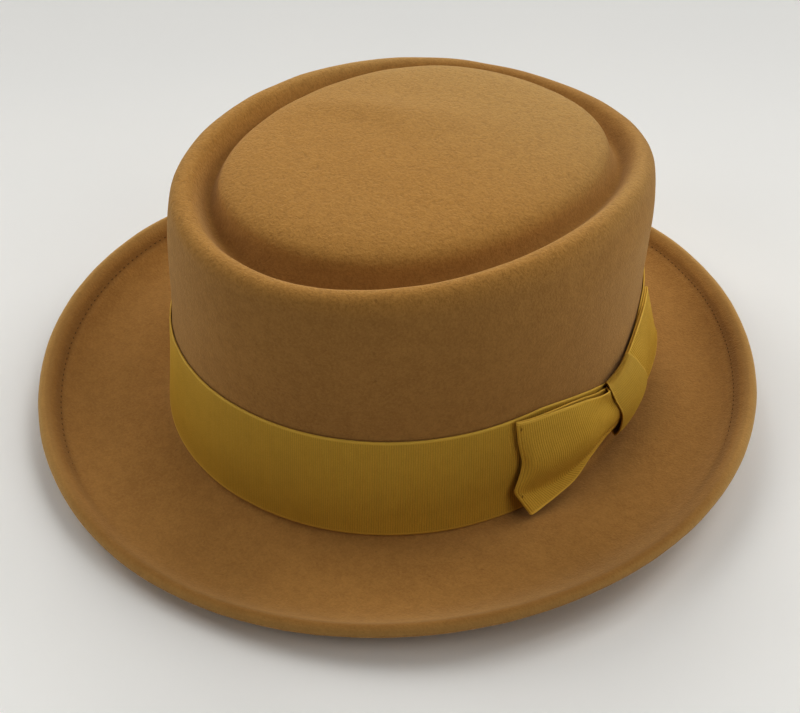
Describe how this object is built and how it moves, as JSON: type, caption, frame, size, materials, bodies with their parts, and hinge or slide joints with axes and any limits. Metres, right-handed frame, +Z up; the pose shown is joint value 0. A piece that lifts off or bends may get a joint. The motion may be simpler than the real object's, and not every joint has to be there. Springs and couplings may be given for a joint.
{
  "type": "felt pork pie hat with ribbon and side bow",
  "caption": "Felt hat with a flat crown sunk in a ring inside its rounded rim, a short brim curled up at the sides with a stitched edge, and a ribbon tied in a flat side bow.",
  "frame": {"origin": "centre of the bounding box on the plane that the brim rests on", "axes": "+Z up through the crown, -Y towards the front of the hat, +X towards the wearer's left, where the bow is"},
  "size_m": [0.2796, 0.2964, 0.1059],
  "materials": {
    "felt": "short napped felt, matt",
    "ribbon": "ribbed grosgrain with a low sheen"
  },
  "bodies": {
    "root": {"felt_body": "felt", "ribbon_band": "ribbon", "bow_front_wing": "ribbon", "bow_back_wing": "ribbon", "bow_knot": "ribbon"}
  },
  "joints": []
}
